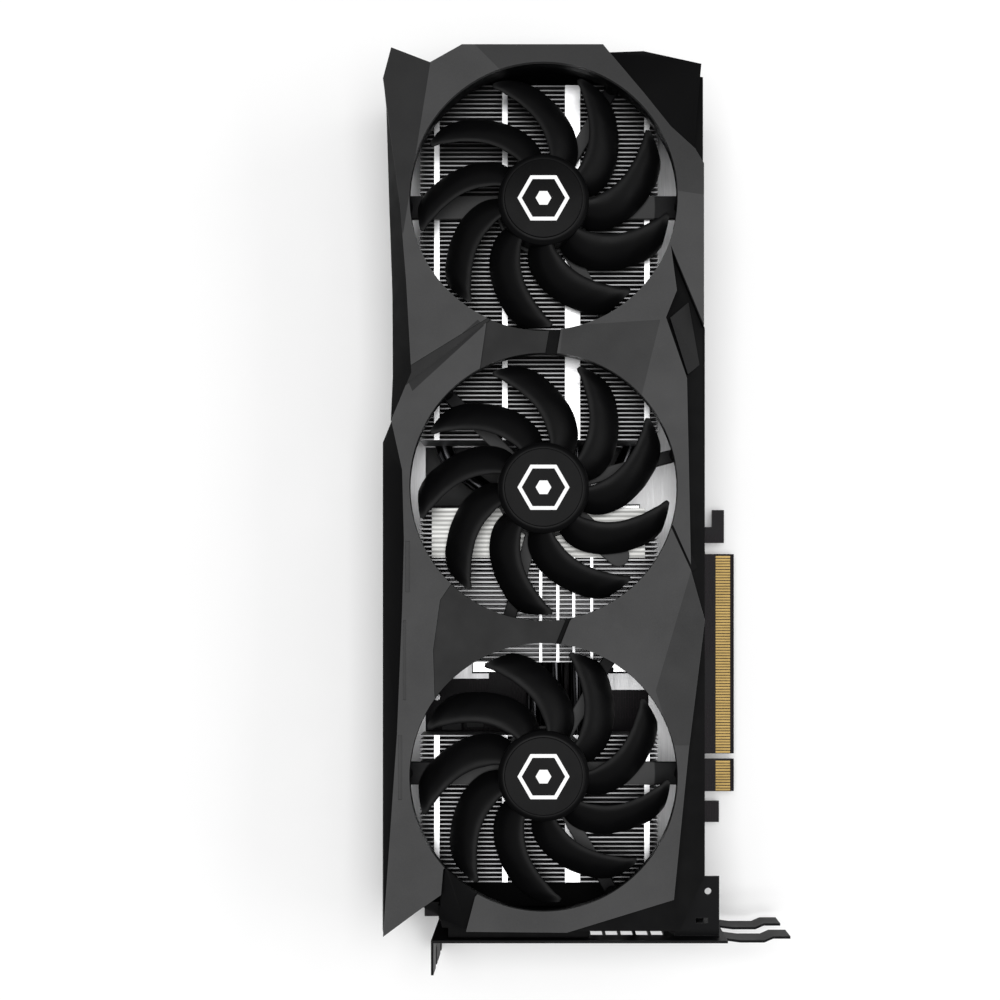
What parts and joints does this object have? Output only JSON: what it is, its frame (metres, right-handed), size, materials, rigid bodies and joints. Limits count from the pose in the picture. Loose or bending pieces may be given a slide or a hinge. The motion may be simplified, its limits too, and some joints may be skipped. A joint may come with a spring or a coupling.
{
  "type": "graphics card",
  "caption": "Graphics card with a faceted dark shroud, swept-blade cooling fans that turn, finned heatsink, backplate, edge connector and dual-slot bracket.",
  "frame": {"origin": "centre of the edge connector's key notch, at the finger tips, on the board's middle plane", "axes": "+X from the bracket to the tail, +Y from the fingers to the top edge, +Z from the board towards the fans"},
  "size_m": [0.308, 0.1369, 0.048],
  "materials": {
    "shroud_plastic": "satin moulded black",
    "fascia_grey": "satin dark grey moulding",
    "fascia_dark": "satin darker grey inlay",
    "fan_plastic": "satin black moulding",
    "frame_plastic": "satin dark grey moulding",
    "hub_gloss": "glossy black disc",
    "magnet": "bonded ferrite",
    "steel": "plain steel",
    "bearing_bronze": "sintered bronze",
    "lamination": "stacked electrical steel",
    "cold_plate_nickel": "copper with bright nickel plating",
    "copper": "copper",
    "fin_aluminium": "thin bright sheet",
    "plate_aluminium": "bright plate",
    "pipe_plated": "copper pipe, dark nickel plating",
    "backplate_metal": "black anodised sheet",
    "standoff_brass": "turned brass",
    "spring_steel": "spring steel",
    "bracket_black": "black powder coat",
    "board": "black solder mask laminate",
    "gold": "gold plating",
    "chip_epoxy": "moulded epoxy",
    "package": "laminate substrate",
    "ferrite": "pressed ferrite",
    "can_aluminium": "capacitor can",
    "pad_rubber": "soft thermal pad",
    "socket_plastic": "moulded socket body",
    "socket_steel": "plated steel shell"
  },
  "bodies": {
    "card": {"backplate": "backplate_metal", "backplate_screws": "steel", "backplate_standoffs": "standoff_brass", "base_plate": "plate_aluminium", "bearing_bracket": "bearing_bronze", "bearing_middle": "bearing_bronze", "bearing_tail": "bearing_bronze", "bracket": "bracket_black", "bracket_screws": "steel", "capacitors": "can_aluminium", "circuit_board": "board", "clamp_plate": "spring_steel", "clamp_screws": "steel", "cold_plate": "cold_plate_nickel", "edge_contacts_back": "gold", "edge_contacts_front": "gold", "fan_frame_bracket": "frame_plastic", "fan_frame_middle": "frame_plastic", "fan_frame_tail": "frame_plastic", "fascia_inlays": "fascia_dark", "fascia_lower": "fascia_grey", "fascia_upper": "fascia_grey", "fin_stack_bracket": "fin_aluminium", "fin_stack_middle": "fin_aluminium", "fin_stack_tail": "fin_aluminium", "heat_pipes": "pipe_plated", "memory_chips": "chip_epoxy", "power_chokes": "ferrite", "power_pins": "gold", "power_socket_a": "socket_plastic", "power_socket_b": "socket_plastic", "power_transistors": "chip_epoxy", "processor_die": "chip_epoxy", "processor_package": "package", "shroud_body": "shroud_plastic", "side_facet": "fascia_dark", "stator_bracket": "lamination", "stator_coils_bracket": "copper", "stator_coils_middle": "copper", "stator_coils_tail": "copper", "stator_middle": "lamination", "stator_tail": "lamination", "thermal_pads": "pad_rubber", "video_socket_display_a": "socket_steel", "video_socket_display_b": "socket_steel", "video_socket_display_c": "socket_steel", "video_socket_hdmi": "socket_steel", "video_tongues": "socket_plastic"},
    "fan_tail": {"rotor_tail": "fan_plastic", "hub_cap_tail": "hub_gloss", "magnet_ring_tail": "magnet", "shaft_tail": "steel"},
    "fan_middle": {"rotor_middle": "fan_plastic", "hub_cap_middle": "hub_gloss", "magnet_ring_middle": "magnet", "shaft_middle": "steel"},
    "fan_bracket": {"rotor_bracket": "fan_plastic", "hub_cap_bracket": "hub_gloss", "magnet_ring_bracket": "magnet", "shaft_bracket": "steel"}
  },
  "joints": [
    {"name": "fan_tail_spin", "type": "hinge", "parent": "card", "child": "fan_tail", "pos_m": [0.1882, 0.0684, 0.0359], "axis": [0, 0, 1], "continuous": true},
    {"name": "fan_middle_spin", "type": "hinge", "parent": "card", "child": "fan_middle", "pos_m": [0.0926, 0.0684, 0.0359], "axis": [0, 0, 1], "continuous": true},
    {"name": "fan_bracket_spin", "type": "hinge", "parent": "card", "child": "fan_bracket", "pos_m": [-0.003, 0.0684, 0.0359], "axis": [0, 0, 1], "continuous": true}
  ]
}
